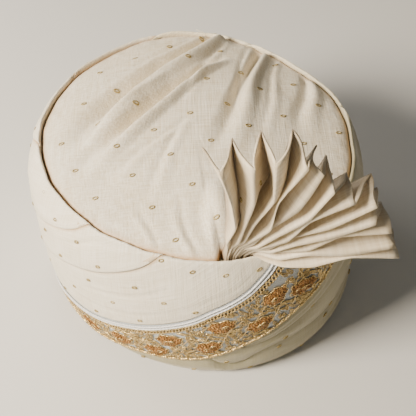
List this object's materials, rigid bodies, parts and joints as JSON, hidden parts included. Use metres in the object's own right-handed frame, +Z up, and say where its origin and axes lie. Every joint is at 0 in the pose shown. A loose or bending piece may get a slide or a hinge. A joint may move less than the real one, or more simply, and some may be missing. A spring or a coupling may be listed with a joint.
{
  "type": "tied turban",
  "caption": "Wound cloth turban with spiral side wraps, domed crown, embroidered diagonal border and an upright pleated fan at the front, worn on the head.",
  "frame": {"origin": "centre of the bounding box in X and Y, on the floor under the flat rim", "axes": "+Z up through the crown, -Y towards the side where the fan is rooted, +X to the right as seen from that side"},
  "size_m": [0.26, 0.2608, 0.256],
  "materials": {
    "cream_silk": "soft silk sheen, small woven gold dots",
    "shaded_silk": "soft silk sheen, small woven gold dots",
    "inner_cotton": "plain matte cotton",
    "starched_silk": "crisp silk sheen, small woven gold dots",
    "border_net": "fine matte net ground under metal embroidery",
    "silver_cord": "satin twisted cord",
    "gold_cord": "bright metal-thread rope",
    "copper_thread": "dense satin metal-thread embroidery"
  },
  "bodies": {
    "root": {"inner_wraps": "inner_cotton", "front_wrap": "cream_silk", "side_wrap_lower": "cream_silk", "side_wrap_upper": "cream_silk", "back_wrap_left": "cream_silk", "back_wrap_right": "cream_silk", "lower_wrap_1": "shaded_silk", "lower_wrap_2": "shaded_silk", "lower_wrap_3": "shaded_silk", "border_band": "border_net", "crown_cloth": "cream_silk", "fan": "starched_silk", "border_piping_upper": "silver_cord", "border_piping_lower": "silver_cord", "border_rope_upper": "gold_cord", "border_rope_lower": "gold_cord", "flower_01": "copper_thread", "flower_02": "copper_thread", "flower_03": "copper_thread", "flower_04": "copper_thread", "flower_05": "copper_thread", "flower_06": "copper_thread", "flower_07": "copper_thread", "flower_08": "copper_thread", "flower_09": "copper_thread"}
  },
  "joints": []
}
